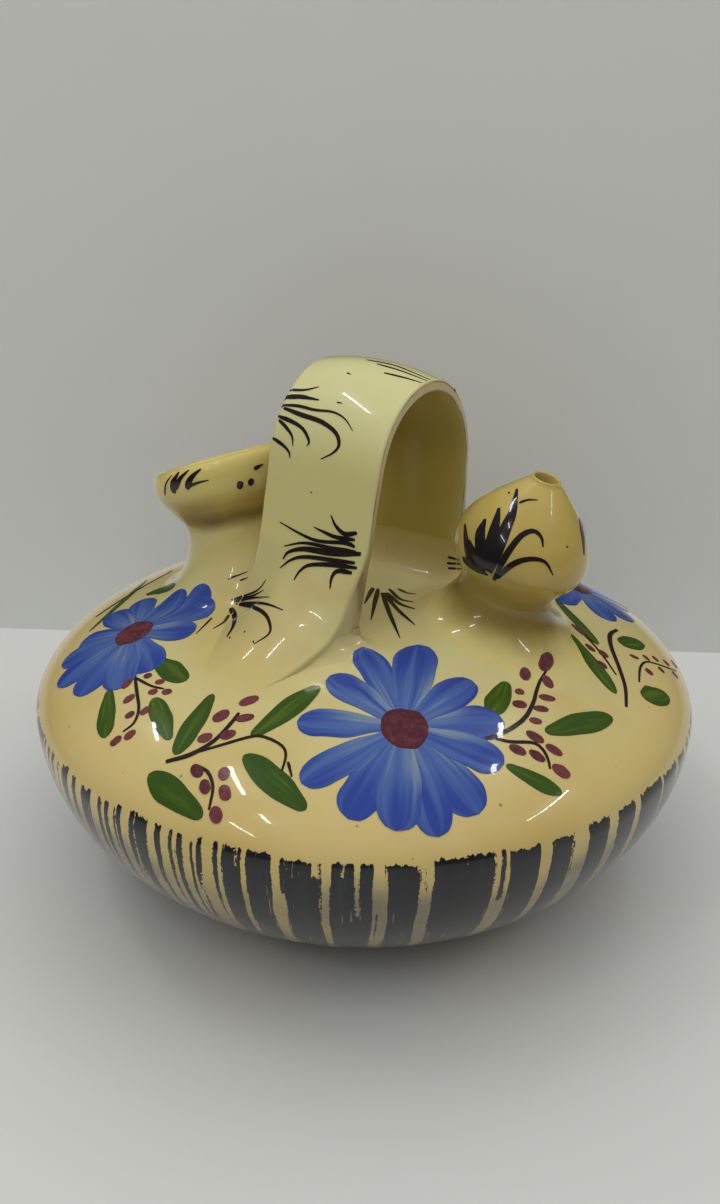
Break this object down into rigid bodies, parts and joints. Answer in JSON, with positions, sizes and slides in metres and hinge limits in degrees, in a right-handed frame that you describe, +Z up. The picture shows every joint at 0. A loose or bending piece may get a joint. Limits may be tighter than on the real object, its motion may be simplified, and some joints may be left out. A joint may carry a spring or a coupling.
{
  "type": "botijo water jug",
  "caption": "Squat glazed earthenware water jug with a wide round body, a strap handle over its dome, a lipped filling mouth and a fig-shaped drinking spout.",
  "frame": {"origin": "middle of the foot, on the surface the jug stands on", "axes": "+Z up, +X from the filling mouth to the drinking spout, +Y to the far leg of the strap"},
  "size_m": [0.18, 0.18, 0.1366],
  "materials": {
    "bowl_glaze": "gloss",
    "dome_glaze": "gloss",
    "mouth_glaze": "gloss",
    "spout_glaze": "gloss",
    "handle_glaze": "gloss"
  },
  "bodies": {
    "root": {"lower_bowl": "bowl_glaze", "upper_dome": "dome_glaze", "filling_mouth": "mouth_glaze", "mouth_coil": "mouth_glaze", "drinking_spout": "spout_glaze", "spout_coil": "spout_glaze", "handle_strap": "handle_glaze", "front_root_coil": "handle_glaze", "rear_root_coil": "handle_glaze"}
  },
  "joints": []
}
